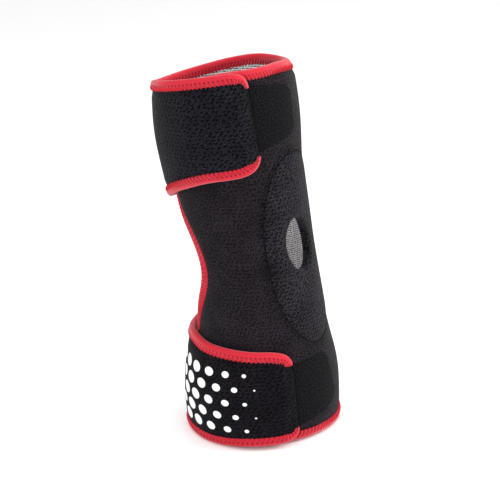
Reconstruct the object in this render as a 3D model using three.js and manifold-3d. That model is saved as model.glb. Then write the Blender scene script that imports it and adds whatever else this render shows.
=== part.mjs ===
// Wrap-around knee support: padded cloth wrapped on a leg form, open over the kneecap,
// bound with folded tape and closed by two flaps with hook tabs.
// Millimetres, +Z up. The kneecap faces -Y, the flaps close on the -X side, and the
// support stands on its lower rim with the origin under the middle of its box.
import * as THREE from 'three';
import { mergeVertices } from 'three/addons/utils/BufferGeometryUtils.js';
import Module from 'manifold-3d';

const wasm = await Module();
wasm.setup();

// Leg form, in equal steps from the lower rim to the upper one
const HEIGHT = 307;
const ROUNDNESS = 0.94; // side-to-side radius over front-to-back radius
const AXIS_X = 3.71; // leg axis, measured from the middle of the part's box
const AXIS_Y = -1.53;
const LEG_ROWS = [
  { back: -1.3, radius: 57.9 },
  { back: -2.3, radius: 58.0 },
  { back: -3.7, radius: 50.4 },
  { back: -1.5, radius: 47.7 },
  { back: 2.3, radius: 47.6 },
  { back: 5.2, radius: 49.3 },
  { back: 7.0, radius: 51.8 },
  { back: 7.5, radius: 48.8 },
];
const KNEE_RADIUS = LEG_ROWS[4].radius;
// The tape draws the upper rim in at the front: how far, over what height, and at which turn
const RIM_CURL = { by: 2.9, reach: 18, turn: -35 };

// Cloth layers, outward from the leg form
const SEAM_GAP = 0.3; // clearance between neighbouring pieces
const LINING_THICK = 1.0;
const FOAM_THICK = 3.0;
const FOAM_BASE = LINING_THICK + SEAM_GAP;
const CLOTH_THICK = FOAM_BASE + FOAM_THICK;
const LAY_GAP = 0.45; // clearance under a piece that lies on the panel
const SURFACE = CLOTH_THICK + LAY_GAP;
const FLAP_RISE = 7.5; // the flaps lie this far outside the panel's own layers
const TAB_THICK = 1.0;

// Folded tape round the cloth edges
const TAPE_THICK = 0.7;
const TAPE_WIDTH = 6.4; // how far it reaches in over the cloth
const TAPE_EASE = 0.6; // clearance of the tape round the cloth edge
const TAPE_REACH = TAPE_THICK + TAPE_EASE;

// Pattern, cut flat: turn is the angle round the leg in degrees from the kneecap, growing
// toward the near side. The flaps carry on from the far seam, round the back, to -325.
const MM_PER_DEGREE = 0.95;
const NEAR_TURN = 146;
const SEAM_TURN = -130;
const FULL_RISE_TURN = -208; // where a flap has climbed clear of the panel's near edge
const EDGE_LOW = TAPE_REACH;
const EDGE_HIGH = HEIGHT - TAPE_REACH;
// Bends of the panel's rims: by how much, and the turns where each starts and is complete
const RIM_DROPS = [
  { by: 5, from: 5, to: -60 },
  { by: 7, from: -85, to: -165 },
  { by: 15, from: 45, to: NEAR_TURN },
];
const FOOT_LIFT = { by: 1.6, from: -45, to: 15 };
const NEAR_TAPE_CLEAR = 8.4; // the near edge's tape stops this far short of the rims
const WAIST = { height: 148, depth: 36.3, nearSpread: 43, farSpread: 33 };
const WAIST_REACH = WAIST.farSpread * Math.sqrt(Math.log(WAIST.depth / (NEAR_TURN + SEAM_TURN)));
const WAIST_LOW = WAIST.height - WAIST_REACH;
const WAIST_HIGH = WAIST.height + WAIST_REACH;

// Edges of a flap or tab: points along the edge, then a rounded corner and the end of it
const FLAP_START = SEAM_TURN - SEAM_GAP / MM_PER_DEGREE;
const UPPER_FLAP = {
  top: {
    along: [
      { turn: FLAP_START, height: rimHeight(SEAM_TURN) },
      { turn: -152, height: 293.7 },
      { turn: -177, height: 291.3 },
      { turn: -200, height: 291.6 },
      { turn: -226, height: 296.3 },
      { turn: -257, height: 300.8 },
      { turn: -287, height: 304.2 },
      { turn: -306, height: 305.7 },
    ],
    corner: { turn: -322.5, height: 307 },
    end: { turn: -322.7, height: 294.8 },
  },
  low: {
    along: [
      { turn: FLAP_START, height: WAIST_HIGH },
      { turn: -138, height: 184 },
      { turn: -155, height: 189 },
      { turn: -180, height: 193.5 },
      { turn: -205, height: 198.2 },
      { turn: -228, height: 204.5 },
      { turn: -255, height: 215.3 },
      { turn: -283, height: 223.8 },
      { turn: -306, height: 226.8 },
    ],
    corner: { turn: -325, height: 228.8 },
    end: { turn: -326, height: 241 },
  },
};
const LOWER_FLAP = {
  top: {
    along: [
      { turn: FLAP_START, height: WAIST_LOW },
      { turn: -137, height: 108.5 },
      { turn: -150, height: 98 },
      { turn: -170, height: 90 },
      { turn: -200, height: 87.5 },
      { turn: -235, height: 88.5 },
      { turn: -257, height: 85.8 },
      { turn: -285, height: 83.2 },
      { turn: -308, height: 81.6 },
    ],
    corner: { turn: -326.3, height: 80 },
    end: { turn: -326.8, height: 70 },
  },
  low: {
    along: [
      { turn: FLAP_START, height: EDGE_LOW },
      { turn: -205, height: EDGE_LOW },
      { turn: -240, height: EDGE_LOW },
      { turn: -258, height: 1.4 },
      { turn: -275, height: 2.3 },
      { turn: -292, height: 4 },
      { turn: -313, height: 5.2 },
    ],
    corner: { turn: -327, height: 5.7 },
    end: { turn: -327.5, height: 15.5 },
  },
};
const TAB_TUCK = 14; // how far, in degrees, a tab runs in under its flap
const UPPER_TAB = {
  top: {
    along: [{ turn: 37 + TAB_TUCK, height: 296 }, { turn: 37, height: 296 }, { turn: 1, height: 291 }],
    corner: { turn: -8.8, height: 289.6 },
    end: { turn: -8.6, height: 281 },
  },
  low: {
    along: [{ turn: 34 + TAB_TUCK, height: 243.5 }, { turn: 34, height: 243.5 }, { turn: 3, height: 250 }],
    corner: { turn: -5.2, height: 251.8 },
    end: { turn: -6, height: 260 },
  },
};
const LOWER_TAB = {
  top: {
    along: [{ turn: 32 + TAB_TUCK, height: 68 }, { turn: 32, height: 68 }, { turn: 3, height: 69.3 }],
    corner: { turn: -7, height: 69 },
    end: { turn: -7.5, height: 60 },
  },
  low: {
    along: [{ turn: 32 + TAB_TUCK, height: 13 }, { turn: 32, height: 14.5 }, { turn: 1, height: 22 }],
    corner: { turn: -10.4, height: 25.5 },
    end: { turn: -9.9, height: 36 },
  },
};

// Raised oval patch and the hole for the kneecap
const PAD = { turn: 0, height: 158.3, halfWidth: 38, halfHeight: 81.5, lean: 0 };
const HOLE = { turn: 3.2, height: 162.3, halfWidth: 14.3, halfHeight: 21.9, lean: -4 };
const HOLE_EASE = 0.4; // the hole in the wrap is this much larger than the patch's own
const PAD_ROWS = [
  { across: 0, thick: 2.4 },
  { across: 0.12, thick: 3.2 },
  { across: 0.4, thick: 3.2 },
  { across: 0.75, thick: 2.2 },
  { across: 0.93, thick: 1.1 },
  { across: 1, thick: 0.7 },
];

// Facet sizes: short round the leg and along the waist, longer up the rest
const STEP_AROUND = 10;
const STEP_UP = 20;
const STEP_WAIST = 8.7;
const FLAP_STEPS = 16;
const TAB_STEPS = 5;
const CORNER_STEPS = 4;
const PAD_STEPS = 36;
const HOLE_STEPS = 16;

const legForm = new THREE.CatmullRomCurve3(
  LEG_ROWS.map((row, i) => new THREE.Vector3(row.back, row.radius, (i / (LEG_ROWS.length - 1)) * HEIGHT)),
  false,
  'catmullrom',
);

const flat = (turn, height) => new THREE.Vector2(turn * MM_PER_DEGREE, height);
const turnOf = (point) => point.x / MM_PER_DEGREE;
const riseOf = (turn) => FLAP_RISE * THREE.MathUtils.smoothstep(-turn, -SEAM_TURN, -FULL_RISE_TURN);

// How far the upper rim is drawn in, at an angle round the leg and a height.
function curlOf(angle, height) {
  const facing = Math.max(0, Math.cos(angle - THREE.MathUtils.degToRad(RIM_CURL.turn)));
  return RIM_CURL.by * facing ** 2 * THREE.MathUtils.smoothstep(height, HEIGHT - RIM_CURL.reach, HEIGHT);
}

// Place a point of the flat pattern on the leg, a given distance outside the leg form.
function wrap(point, offset) {
  const angle = THREE.MathUtils.degToRad(turnOf(point));
  const out = offset - curlOf(angle, point.y);
  const { x: back, y: radius } = legForm.getPoint(THREE.MathUtils.clamp(point.y / HEIGHT, 0, 1));
  return new THREE.Vector3(
    AXIS_X - Math.sin(angle) * (ROUNDNESS * radius + out),
    AXIS_Y + back - Math.cos(angle) * (radius + out),
    point.y,
  );
}

// Join a row of equal closed loops into one closed body. Each loop runs out along one side
// of its section and back along the other, so an end is closed by rungs between the two.
function sweep(loops, closed = false) {
  const size = loops[0].length;
  const points = loops.flat();
  const index = [];
  const quad = (a, b, c, d) => {
    const acrossShorter = points[a].distanceTo(points[c]) <= points[b].distanceTo(points[d]);
    index.push(...(acrossShorter ? [a, b, c, a, c, d] : [a, b, d, b, c, d]));
  };
  const steps = closed ? loops.length : loops.length - 1;
  for (let i = 0; i < steps; i += 1) {
    const here = i * size;
    const next = ((i + 1) % loops.length) * size;
    for (let k = 0; k < size; k += 1) {
      const after = (k + 1) % size;
      quad(here + k, here + after, next + after, next + k);
    }
  }
  if (!closed) {
    const last = (loops.length - 1) * size;
    for (let k = 0; k < size / 2 - 1; k += 1) {
      quad(size - 1 - k, size - 2 - k, k + 1, k);
      quad(last + k, last + k + 1, last + size - 2 - k, last + size - 1 - k);
    }
  }
  return facingOut(points, index);
}

// Make a geometry whose faces point outward, whichever way its loops ran.
function facingOut(points, index) {
  let volume = 0;
  for (let i = 0; i < index.length; i += 3) {
    const [a, b, c] = [points[index[i]], points[index[i + 1]], points[index[i + 2]]];
    volume += a.dot(b.clone().cross(c));
  }
  const geometry = new THREE.BufferGeometry().setFromPoints(points);
  geometry.setIndex(volume < 0 ? index.reverse() : index);
  geometry.computeVertexNormals();
  return geometry;
}

// A sheet between two edges of the pattern that have the same number of points.
function sheet(edgeA, edgeB, inner, outer) {
  const longest = Math.max(...edgeA.map((point, i) => point.distanceTo(edgeB[i])));
  const rows = Math.ceil(longest / STEP_UP);
  const loops = edgeA.map((start, i) => {
    const across = Array.from({ length: rows + 1 }, (_, j) => start.clone().lerp(edgeB[i], j / rows));
    const outside = across.map((point) => wrap(point, outer(turnOf(point))));
    const inside = across.map((point) => wrap(point, inner(turnOf(point))));
    return [...outside, ...inside.reverse()];
  });
  return sweep(loops);
}

const risen = (offset) => (turn) => offset + riseOf(turn);

// Points along an edge of a flap or tab, and round its corner to the end.
function edgePoints(edge, steps) {
  const along = edge.along.map((row) => flat(row.turn, row.height));
  const corner = flat(edge.corner.turn, edge.corner.height);
  const end = flat(edge.end.turn, edge.end.height);
  const straight = new THREE.SplineCurve(along);
  const bend = new THREE.QuadraticBezierCurve(along.at(-1), corner, end);
  return [...straight.getSpacedPoints(steps), ...bend.getPoints(CORNER_STEPS).slice(1)];
}

// Panel edges, as functions of the height
const dip = (height, spread) => WAIST.depth * Math.exp(-(((height - WAIST.height) / spread) ** 2));
const nearEdge = (height) => flat(NEAR_TURN - dip(height, WAIST.nearSpread), height);
const farEdge = (height) => flat(Math.max(SEAM_TURN, dip(height, WAIST.farSpread) - NEAR_TURN), height);

// How far a bend has gone at a turn, which may grow or fall from its start to its end.
function bent({ by, from, to }, turn) {
  return by * THREE.MathUtils.smoothstep((turn - from) / (to - from), 0, 1);
}

function rimHeight(turn) {
  return RIM_DROPS.reduce((height, drop) => height - bent(drop, turn), EDGE_HIGH);
}

const footHeight = (turn) => EDGE_LOW + bent(FOOT_LIFT, turn);

// Evenly spaced values from one end to the other, both included.
function spaced(start, end, step) {
  const count = Math.ceil(Math.abs(end - start) / step);
  return Array.from({ length: count + 1 }, (_, k) => THREE.MathUtils.lerp(start, end, k / count));
}

const waistHeights = spaced(WAIST_LOW, WAIST_HIGH, STEP_WAIST);
const nearHeights = [
  ...spaced(EDGE_LOW + NEAR_TAPE_CLEAR, WAIST_LOW - STEP_WAIST, STEP_UP),
  ...waistHeights,
  ...spaced(WAIST_HIGH + STEP_WAIST, EDGE_HIGH - NEAR_TAPE_CLEAR, STEP_UP),
];
const panelHeights = [EDGE_LOW, ...nearHeights, EDGE_HIGH];
const panelTurns = spaced(NEAR_TURN, SEAM_TURN, STEP_AROUND / MM_PER_DEGREE);

// A point of the panel at a share of the way from its near edge to its far one. Above and
// below the waist the heights are drawn toward the bent rims.
function panelPoint(height, share) {
  const point = nearEdge(height).lerp(farEdge(height), share);
  const turn = turnOf(point);
  const upward = Math.max(0, height - WAIST_HIGH) / (EDGE_HIGH - WAIST_HIGH);
  const downward = Math.max(0, WAIST_LOW - height) / (WAIST_LOW - EDGE_LOW);
  point.y += upward * (rimHeight(turn) - EDGE_HIGH) + downward * (footHeight(turn) - EDGE_LOW);
  return point;
}

function panelSheet(inner, outer) {
  const loops = panelTurns.map((_, i) => {
    const column = panelHeights.map((height) => panelPoint(height, i / (panelTurns.length - 1)));
    const outside = column.map((point) => wrap(point, outer));
    const inside = column.map((point) => wrap(point, inner));
    return [...outside, ...inside.reverse()];
  });
  return cutHole(sweep(loops));
}

// Cut the kneecap hole straight through from the front.
function cutHole(geometry) {
  const across = HOLE.halfWidth + HOLE_EASE;
  const up = HOLE.halfHeight + HOLE_EASE;
  const lean = THREE.MathUtils.degToRad(-HOLE.lean); // the pattern is seen mirrored here
  const oval = new THREE.Shape();
  oval.absellipse(0, 0, across, up, 0, 2 * Math.PI, false, lean);
  const depth = KNEE_RADIUS;
  const cutter = new THREE.ExtrudeGeometry(oval, { depth, bevelEnabled: false, curveSegments: HOLE_STEPS });
  const centre = wrap(flat(HOLE.turn, HOLE.height), CLOTH_THICK);
  cutter.translate(0, 0, -depth / 2);
  cutter.rotateX(Math.PI / 2);
  cutter.rotateZ(THREE.MathUtils.degToRad(-HOLE.turn));
  cutter.translate(centre.x, centre.y, centre.z);
  return toGeometry(toSolid(geometry).subtract(toSolid(cutter)));
}

function toSolid(geometry) {
  const bare = new THREE.BufferGeometry();
  bare.setAttribute('position', geometry.getAttribute('position'));
  bare.setIndex(geometry.index);
  const merged = mergeVertices(bare);
  return new wasm.Manifold(new wasm.Mesh({
    numProp: 3,
    vertProperties: new Float32Array(merged.getAttribute('position').array),
    triVerts: new Uint32Array(merged.index.array),
  }));
}

function toGeometry(solid) {
  const mesh = solid.getMesh();
  const geometry = new THREE.BufferGeometry();
  geometry.setAttribute('position', new THREE.BufferAttribute(mesh.vertProperties, 3));
  geometry.setIndex(new THREE.BufferAttribute(mesh.triVerts, 1));
  geometry.computeVertexNormals();
  return geometry;
}

function flapSheet(flap, inner, outer) {
  const low = edgePoints(flap.low, FLAP_STEPS);
  const top = edgePoints(flap.top, FLAP_STEPS);
  return sheet(low, top, risen(inner), risen(outer));
}

function tabSheet(tab) {
  const inner = () => SURFACE;
  const outer = () => SURFACE + TAB_THICK;
  return sheet(edgePoints(tab.low, TAB_STEPS), edgePoints(tab.top, TAB_STEPS), inner, outer);
}

// Tape section: s runs inward from the cloth edge and n outward from the cloth's inner face.
function foldedSide(reach) {
  return [
    { s: TAPE_WIDTH, n: CLOTH_THICK + reach },
    { s: -reach, n: CLOTH_THICK + reach },
    { s: -reach, n: -reach },
    { s: TAPE_WIDTH, n: -reach },
  ];
}
const TAPE_SECTION = [...foldedSide(TAPE_REACH), ...foldedSide(TAPE_EASE).reverse()];

// Fold tape over an edge of the pattern. The cloth lies on the left of the path, or on the
// right where side is -1.
function tape(path, side = 1) {
  const loops = path.map((point, i) => {
    const before = path[Math.max(i - 1, 0)];
    const after = path[Math.min(i + 1, path.length - 1)];
    const along = after.clone().sub(before).normalize();
    const inward = new THREE.Vector2(-along.y, along.x).multiplyScalar(side);
    const rise = riseOf(turnOf(point));
    return TAPE_SECTION.map(({ s, n }) => wrap(point.clone().addScaledVector(inward, s), rise + n));
  });
  return sweep(loops);
}

function topBinding() {
  const panelRim = panelTurns.map((turn) => flat(turn, rimHeight(turn)));
  return tape([...panelRim, ...edgePoints(UPPER_FLAP.top, FLAP_STEPS)]);
}

function bottomBinding() {
  const panelRim = panelTurns.map((turn) => flat(turn, footHeight(turn)));
  return tape([...panelRim, ...edgePoints(LOWER_FLAP.low, FLAP_STEPS)], -1);
}

function nearBinding() {
  return tape(nearHeights.map((height) => panelPoint(height, 0)));
}

function backBinding() {
  return tape([
    ...edgePoints(UPPER_FLAP.low, FLAP_STEPS).reverse(),
    ...waistHeights.slice(1, -1).reverse().map(farEdge),
    ...edgePoints(LOWER_FLAP.top, FLAP_STEPS),
  ]);
}

// Oval of the pattern about a centre, at an angle from straight across
function ovalPoint({ turn, height, halfWidth, halfHeight, lean }, angle) {
  const scale = THREE.MathUtils.degToRad(KNEE_RADIUS + SURFACE) / MM_PER_DEGREE;
  const point = new THREE.Vector2((halfWidth * Math.cos(angle)) / scale, halfHeight * Math.sin(angle));
  return point.rotateAround(new THREE.Vector2(), THREE.MathUtils.degToRad(lean)).add(flat(turn, height));
}

function patellaPad() {
  const loops = Array.from({ length: PAD_STEPS }, (_, i) => {
    const angle = (2 * Math.PI * i) / PAD_STEPS;
    const rim = ovalPoint(HOLE, angle);
    const outline = ovalPoint(PAD, angle);
    const across = PAD_ROWS.map((row) => rim.clone().lerp(outline, row.across));
    const outside = across.map((point, k) => wrap(point, SURFACE + PAD_ROWS[k].thick));
    const inside = across.map((point) => wrap(point, SURFACE));
    return [...outside, ...inside.reverse()];
  });
  return sweep(loops, true);
}

const support = new THREE.Group();

function addPiece(name, geometry, color, roughness) {
  const material = new THREE.MeshStandardMaterial({ color, roughness, metalness: 0 });
  const mesh = new THREE.Mesh(geometry, material);
  mesh.name = name;
  support.add(mesh);
}

const BLACK_LOOP = 0x1f1e21;
const GREY_LINING = 0xb9b9ba;
const HOOK_BLACK = 0x1b1b1c;
const RED_TAPE = 0xe2283a;

addPiece('main_panel', panelSheet(FOAM_BASE, CLOTH_THICK), BLACK_LOOP, 0.95);
addPiece('panel_lining', panelSheet(0, LINING_THICK), GREY_LINING, 0.9);
addPiece('upper_flap', flapSheet(UPPER_FLAP, FOAM_BASE, CLOTH_THICK), BLACK_LOOP, 0.95);
addPiece('upper_flap_lining', flapSheet(UPPER_FLAP, 0, LINING_THICK), GREY_LINING, 0.9);
addPiece('lower_flap', flapSheet(LOWER_FLAP, FOAM_BASE, CLOTH_THICK), BLACK_LOOP, 0.95);
addPiece('lower_flap_lining', flapSheet(LOWER_FLAP, 0, LINING_THICK), GREY_LINING, 0.9);
addPiece('patella_pad', patellaPad(), BLACK_LOOP, 0.95);
addPiece('upper_hook_tab', tabSheet(UPPER_TAB), HOOK_BLACK, 0.85);
addPiece('lower_hook_tab', tabSheet(LOWER_TAB), HOOK_BLACK, 0.85);
addPiece('top_binding', topBinding(), RED_TAPE, 0.7);
addPiece('bottom_binding', bottomBinding(), RED_TAPE, 0.7);
addPiece('near_binding', nearBinding(), RED_TAPE, 0.7);
addPiece('back_binding', backBinding(), RED_TAPE, 0.7);

export default support;
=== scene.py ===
# %% [markdown]
# # A wrap-around knee support
# The support is a cloth and foam wrap, bound with folded red tape and closed by two flaps.
# Plain solids of it come from the CAD frame. Each one is replaced here by a softer and finer
# piece in the same place, cut from the same flat pattern, and then sewn, lit and looked at.

import math

import bmesh
import bpy
import numpy as np
from mathutils import Matrix, Vector, kdtree


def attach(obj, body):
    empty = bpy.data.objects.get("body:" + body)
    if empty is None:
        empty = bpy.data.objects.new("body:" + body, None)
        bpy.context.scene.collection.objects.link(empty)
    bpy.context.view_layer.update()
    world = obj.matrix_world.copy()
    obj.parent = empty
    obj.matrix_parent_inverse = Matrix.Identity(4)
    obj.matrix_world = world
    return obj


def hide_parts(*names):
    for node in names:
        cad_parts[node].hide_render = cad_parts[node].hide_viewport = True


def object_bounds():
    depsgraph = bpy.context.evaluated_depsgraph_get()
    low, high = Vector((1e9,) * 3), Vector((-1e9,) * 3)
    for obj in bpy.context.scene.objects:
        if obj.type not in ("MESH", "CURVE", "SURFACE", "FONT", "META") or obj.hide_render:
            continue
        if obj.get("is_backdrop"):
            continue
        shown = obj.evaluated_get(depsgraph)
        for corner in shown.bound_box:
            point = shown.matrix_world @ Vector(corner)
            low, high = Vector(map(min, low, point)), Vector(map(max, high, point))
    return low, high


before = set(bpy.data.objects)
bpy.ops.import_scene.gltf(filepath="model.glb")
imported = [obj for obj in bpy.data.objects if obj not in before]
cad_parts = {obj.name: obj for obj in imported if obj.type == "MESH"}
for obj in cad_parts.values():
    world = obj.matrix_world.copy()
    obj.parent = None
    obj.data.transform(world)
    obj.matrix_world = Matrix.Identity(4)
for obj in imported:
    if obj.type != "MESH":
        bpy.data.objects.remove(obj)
cad_box = [list(corner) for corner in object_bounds()]
print("solids to dress:", ", ".join(sorted(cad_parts)))

# %% [markdown]
# ## The leg form
# The wrap keeps the shape of a slightly bent leg: wide at the rims, narrow under the knee.
# The form could be sculpted, but a smooth curve through eight measured rows is the same for
# every layer, so the cloth, its lining and the tape all follow each other exactly.

# %% Leg form
MM = 0.001
HEIGHT = 307.0
ROUNDNESS = 0.94  # side-to-side radius over front-to-back radius
AXIS_X = 3.71
AXIS_Y = -1.53
LEG_ROWS = np.array([(-1.3, 57.9), (-2.3, 58.0), (-3.7, 50.4), (-1.5, 47.7),
                     (2.3, 47.6), (5.2, 49.3), (7.0, 51.8), (7.5, 48.8)])
KNEE_RADIUS = LEG_ROWS[4, 1]
RIM_CURL = 2.9  # how far the tape draws the upper rim in at the front, mm
RIM_CURL_REACH = 18.0
RIM_CURL_TURN = -35.0


def ease(value, low, high):
    """Zero up to low, one from high on, and a smooth step between."""
    share = np.clip((value - low) / (high - low), 0, 1)
    return share * share * (3 - 2 * share)


def smooth_curve(rows, place, before, after):
    """A smooth curve through rows, at places counted in rows, with a row added at each end."""
    rows = np.vstack([before, rows, after])
    first = np.clip(np.asarray(place).astype(int), 0, len(rows) - 4)
    share = (place - first)[..., None]
    a, b, c, d = (rows[first + k] for k in range(4))
    cubic = 3 * (b - c) + d - a
    return b + 0.5 * share * (c - a + share * (2 * a - 5 * b + 4 * c - d + share * cubic))


def ripple(angle, height):
    """How far the worn cloth waves in and out, the same for every layer at one place."""
    slow = 0.45 * np.sin(3 * angle + 0.031 * height + 0.7)
    middle = 0.3 * np.sin(5 * angle - 0.052 * height + 2.1)
    quick = 0.16 * np.sin(9 * angle + 0.083 * height + 4.0)
    return slow + middle + quick


def rim_curl(angle, height):
    """How far the upper rim is drawn in, strongest at one turn."""
    facing = np.maximum(0, np.cos(angle - math.radians(RIM_CURL_TURN)))
    return RIM_CURL * facing**2 * ease(height, HEIGHT - RIM_CURL_REACH, HEIGHT)


def wrap(turn, height, offset):
    """Place pattern points on the leg: degrees round it, millimetres up and outward."""
    turn, height, offset = np.broadcast_arrays(turn, height, offset)
    place = np.clip(height / HEIGHT, 0, 1) * (len(LEG_ROWS) - 1)
    before = 2 * LEG_ROWS[0] - LEG_ROWS[1]
    after = 2 * LEG_ROWS[-1] - LEG_ROWS[-2]
    back, radius = np.moveaxis(smooth_curve(LEG_ROWS, place, before, after), -1, 0)
    angle = np.radians(turn)
    out = offset + ripple(angle, height) - rim_curl(angle, height)
    x = AXIS_X - np.sin(angle) * (ROUNDNESS * radius + out)
    y = AXIS_Y + back - np.cos(angle) * (radius + out)
    return np.stack([x, y, height], -1)


print("leg radius from", LEG_ROWS[:, 1].min(), "to", LEG_ROWS[:, 1].max(), "mm")

# %% [markdown]
# ## The flat pattern
# The maker cuts the wrap flat: a panel with a waist on both sides, and two flaps sewn to its
# far edge. Places on the pattern are given by a turn round the leg, in degrees from the
# kneecap, and a height. One degree is 0.95 mm of cloth. The numbers are the frame's own,
# except where a comment says otherwise.

# %% Layers and panel edges
SEAM_GAP = 0.3
LINING_THICK = 1.0
FOAM_BASE = LINING_THICK + SEAM_GAP
CLOTH_THICK = 4.3
SURFACE = 4.65  # where a piece that lies on the panel begins, 0.1 mm inside the frame's
FLAP_RISE = 7.5
TAB_THICK = 1.0
TAPE_REACH = 1.3
MM_PER_DEGREE = 0.95
NEAR_TURN = 146.0
SEAM_TURN = -130.0
FULL_RISE_TURN = -208.0
EDGE_LOW = TAPE_REACH
EDGE_HIGH = HEIGHT - TAPE_REACH
NEAR_TAPE_CLEAR = 8.4
WAIST_HEIGHT = 148.0
WAIST_DEPTH = 36.3
NEAR_SPREAD = 43.0
FAR_SPREAD = 33.0
WAIST_REACH = FAR_SPREAD * math.sqrt(math.log(WAIST_DEPTH / (NEAR_TURN + SEAM_TURN)))
WAIST_LOW = WAIST_HEIGHT - WAIST_REACH
WAIST_HIGH = WAIST_HEIGHT + WAIST_REACH
FRONT_DIP = 5.0  # how far the upper rim dips at the far front, mm
BACK_DIP = 7.0  # and behind the knee
NEAR_DIP = 15.0  # and at the near edge
FOOT_LIFT = 1.6


def near_turn(height):
    return NEAR_TURN - WAIST_DEPTH * np.exp(-(((height - WAIST_HEIGHT) / NEAR_SPREAD) ** 2))


def far_turn(height):
    dip = WAIST_DEPTH * np.exp(-(((height - WAIST_HEIGHT) / FAR_SPREAD) ** 2))
    return np.maximum(SEAM_TURN, dip - NEAR_TURN)


def rim_height(turn):
    """Height of the upper rim: it dips at the far front, behind the knee and at the near edge."""
    far = FRONT_DIP * ease(-turn, -5, 60) + BACK_DIP * ease(-turn, 85, 165)
    return EDGE_HIGH - far - NEAR_DIP * ease(turn, 45, NEAR_TURN)


def foot_height(turn):
    """Height of the lower rim, which lifts a little on the near side."""
    return EDGE_LOW + FOOT_LIFT * ease(turn, -45, 15)


def panel_point(height, share):
    """Turn and height at a share of the way from the panel's near edge to its far one."""
    turn = near_turn(height) * (1 - share) + far_turn(height) * share
    upward = np.maximum(0, height - WAIST_HIGH) / (EDGE_HIGH - WAIST_HIGH)
    downward = np.maximum(0, WAIST_LOW - height) / (WAIST_LOW - EDGE_LOW)
    drawn = upward * (rim_height(turn) - EDGE_HIGH) + downward * (foot_height(turn) - EDGE_LOW)
    return turn, height + drawn


def rise(turn):
    """How far a flap has climbed off the leg, to clear the panel's near edge."""
    return FLAP_RISE * ease(-turn, -SEAM_TURN, -FULL_RISE_TURN)


print(f"panel waist from {WAIST_LOW:.1f} to {WAIST_HIGH:.1f} mm up")

# %% Flap and tab edges
FLAP_START = SEAM_TURN + 0.1  # tucked a little into the panel, so that no light comes through
UPPER_TOP = [(FLAP_START, rim_height(SEAM_TURN)), (-152, 293.7), (-177, 291.3), (-200, 291.6),
             (-226, 296.3), (-257, 300.8), (-287, 304.2), (-306, 305.7), (-322.5, 307),
             (-322.7, 294.8)]
UPPER_LOW = [(FLAP_START, WAIST_HIGH), (-138, 184), (-155, 189), (-180, 193.5), (-205, 198.2),
             (-228, 204.5), (-255, 215.3), (-283, 223.8), (-306, 226.8), (-325, 228.8), (-326, 241)]
LOWER_TOP = [(FLAP_START, WAIST_LOW), (-137, 108.5), (-150, 98), (-170, 90), (-200, 87.5),
             (-235, 88.5), (-257, 85.8), (-285, 83.2), (-308, 81.6), (-326.3, 80), (-326.8, 70)]
LOWER_LOW = [(FLAP_START, EDGE_LOW), (-205, EDGE_LOW), (-240, EDGE_LOW), (-258, 1.4),
             (-275, 2.3), (-292, 4), (-313, 5.2), (-327, 5.7), (-327.5, 15.5)]
UPPER_TAB_TOP = [(51, 296), (37, 296), (1, 291), (-8.8, 289.6), (-8.6, 281)]
UPPER_TAB_LOW = [(48, 243.5), (34, 243.5), (3, 250), (-5.2, 251.8), (-6, 260)]
LOWER_TAB_TOP = [(46, 68), (32, 68), (3, 69.3), (-7, 69), (-7.5, 60)]
LOWER_TAB_LOW = [(46, 13), (32, 14.5), (1, 22), (-10.4, 25.5), (-9.9, 36)]


def evenly(line, count):
    """A number of points spaced evenly along a line of points."""
    gone = np.r_[0, np.cumsum(np.linalg.norm(np.diff(line, axis=0), axis=1))]
    places = np.linspace(0, gone[-1], count)
    return np.stack([np.interp(places, gone, line[:, k]) for k in range(line.shape[1])], -1)


def cut_edge(rows, straight, bend):
    """Flat millimetres along an edge: a smooth run, then a rounded corner to the last row."""
    rows = np.array(rows, float) * (MM_PER_DEGREE, 1)
    run = rows[:-2]
    fine = smooth_curve(run, np.linspace(0, len(run) - 1, 600), run[0], run[-1])
    share = np.linspace(0, 1, bend + 1)[1:, None]
    corner = (1 - share) ** 2 * run[-1] + 2 * share * (1 - share) * rows[-2] + share**2 * rows[-1]
    return np.vstack([evenly(fine, straight), corner])


print("flaps reach", round(-SEAM_TURN - UPPER_LOW[-1][0] - 260, 1), "degrees past the seam")

# %% [markdown]
# ## Making a thick sheet
# Neoprene is a sheet with a real thickness. Solidify would thicken one surface, but the
# layers here must stop at exact distances from the leg, so both faces are placed straight
# from the pattern and a wall closes every open edge. The pattern's millimetres become the
# UV map, which keeps the weave at one scale however the cloth bends.

# %% Mesh helpers
SHARP_ANGLE = math.radians(48)


def add_piece(name, points, faces, uv, finish):
    """A smooth closed mesh object at the origin, with the pattern's millimetres as its UV map."""
    mesh = bpy.data.meshes.new(name)
    mesh.from_pydata((np.asarray(points) * MM).tolist(), [], faces)
    shell = bmesh.new()
    shell.from_mesh(mesh)
    bmesh.ops.recalc_face_normals(shell, faces=shell.faces)
    shell.to_mesh(mesh)
    shell.free()
    corners = np.empty(len(mesh.loops), int)
    mesh.loops.foreach_get("vertex_index", corners)
    layer = mesh.uv_layers.new(name="pattern")
    layer.data.foreach_set("uv", np.asarray(uv, np.float32)[corners].ravel())
    mesh.materials.append(finish)
    mesh.shade_smooth()
    mesh.set_sharp_from_angle(angle=SHARP_ANGLE)
    piece = bpy.data.objects.new(name, mesh)
    bpy.context.collection.objects.link(piece)
    return piece


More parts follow.
